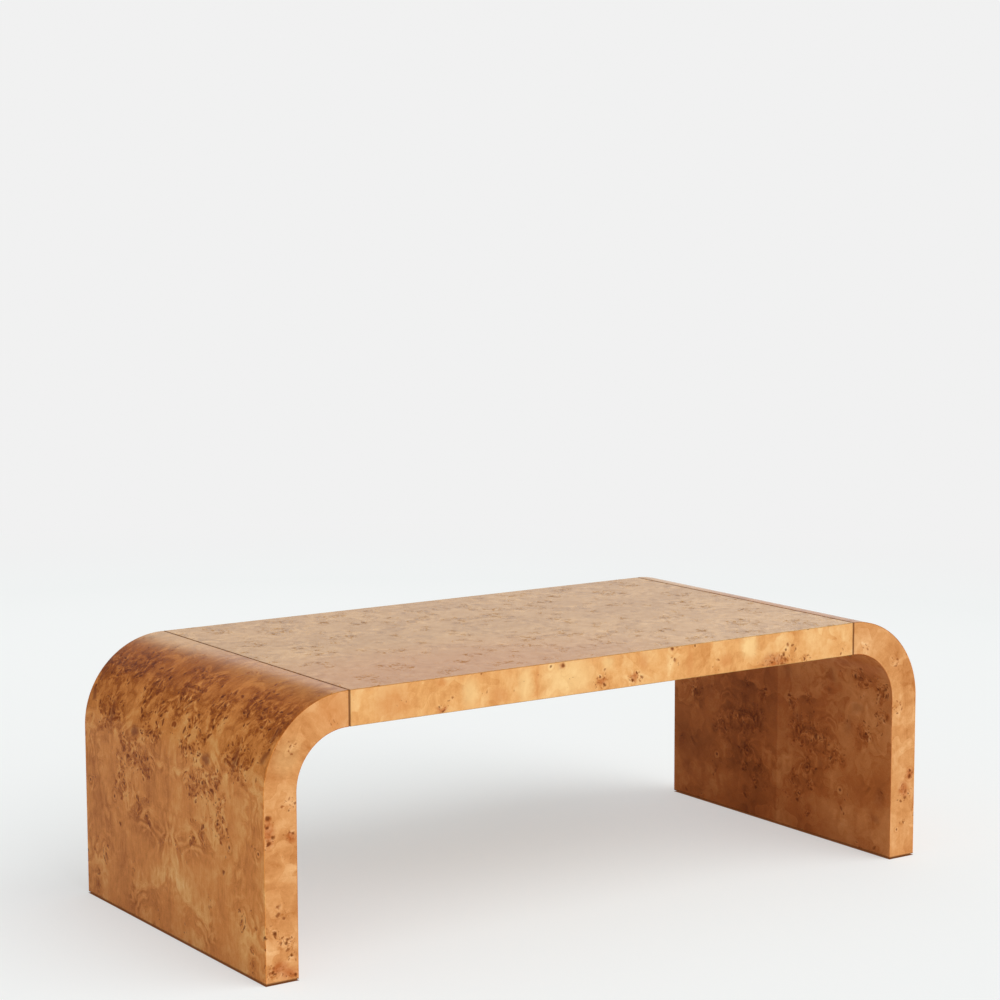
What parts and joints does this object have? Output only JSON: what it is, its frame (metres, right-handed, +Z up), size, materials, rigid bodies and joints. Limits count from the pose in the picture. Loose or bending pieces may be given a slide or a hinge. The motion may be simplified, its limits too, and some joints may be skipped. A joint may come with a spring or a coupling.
{
  "type": "waterfall coffee table",
  "caption": "Low rectangular coffee table whose flat slab top bends down at both ends into slab legs, burl-veneered all over, with thin seams near the bends.",
  "frame": {"origin": "on the floor under the middle of the table", "axes": "+X along the length to the right-hand end, -Y towards the front, +Z up"},
  "size_m": [1.3, 0.61, 0.43],
  "materials": {
    "burl_veneer": "burl veneer, golden brown, satin lacquer",
    "bending_plywood": "bending plywood, bare, showing only at the feet",
    "panel_board": "medium density fibreboard, bare",
    "rib_board": "medium density fibreboard, bare",
    "frame_timber": "poplar, planed, sealed at the feet",
    "dowel_beech": "beech, plain",
    "insert_metal": "plain turned",
    "plated_steel": "bright zinc plated",
    "cap_plastic": "brown, fine matt",
    "glide_nylon": "dark brown nylon"
  },
  "bodies": {
    "root": {"left_back_edge_veneer": "burl_veneer", "left_back_rib": "rib_board", "left_foot_glides": "glide_nylon", "left_foot_rail": "frame_timber", "left_front_edge_veneer": "burl_veneer", "left_front_rib": "rib_board", "left_inner_bent_panel": "bending_plywood", "left_inner_veneer": "burl_veneer", "left_joint_rail": "frame_timber", "left_middle_rib_1": "rib_board", "left_middle_rib_2": "rib_board", "left_outer_bent_panel": "bending_plywood", "left_outer_veneer": "burl_veneer", "left_pocket_caps": "cap_plastic", "left_seam_dowels": "dowel_beech", "left_seam_inserts": "insert_metal", "left_seam_nuts": "plated_steel", "left_seam_studs": "plated_steel", "left_seam_washers": "plated_steel", "right_back_edge_veneer": "burl_veneer", "right_back_rib": "rib_board", "right_foot_glides": "glide_nylon", "right_foot_rail": "frame_timber", "right_front_edge_veneer": "burl_veneer", "right_front_rib": "rib_board", "right_inner_bent_panel": "bending_plywood", "right_inner_veneer": "burl_veneer", "right_joint_rail": "frame_timber", "right_middle_rib_1": "rib_board", "right_middle_rib_2": "rib_board", "right_outer_bent_panel": "bending_plywood", "right_outer_veneer": "burl_veneer", "right_pocket_caps": "cap_plastic", "right_seam_dowels": "dowel_beech", "right_seam_inserts": "insert_metal", "right_seam_nuts": "plated_steel", "right_seam_studs": "plated_steel", "right_seam_washers": "plated_steel", "top_back_edge_veneer": "burl_veneer", "top_back_rail": "frame_timber", "top_cross_rib_1": "rib_board", "top_cross_rib_2": "rib_board", "top_cross_rib_3": "rib_board", "top_cross_rib_4": "rib_board", "top_face_veneer": "burl_veneer", "top_front_edge_veneer": "burl_veneer", "top_front_rail": "frame_timber", "top_left_end_rail": "frame_timber", "top_lower_panel": "panel_board", "top_right_end_rail": "frame_timber", "top_underside_veneer": "burl_veneer", "top_upper_panel": "panel_board"}
  },
  "joints": []
}
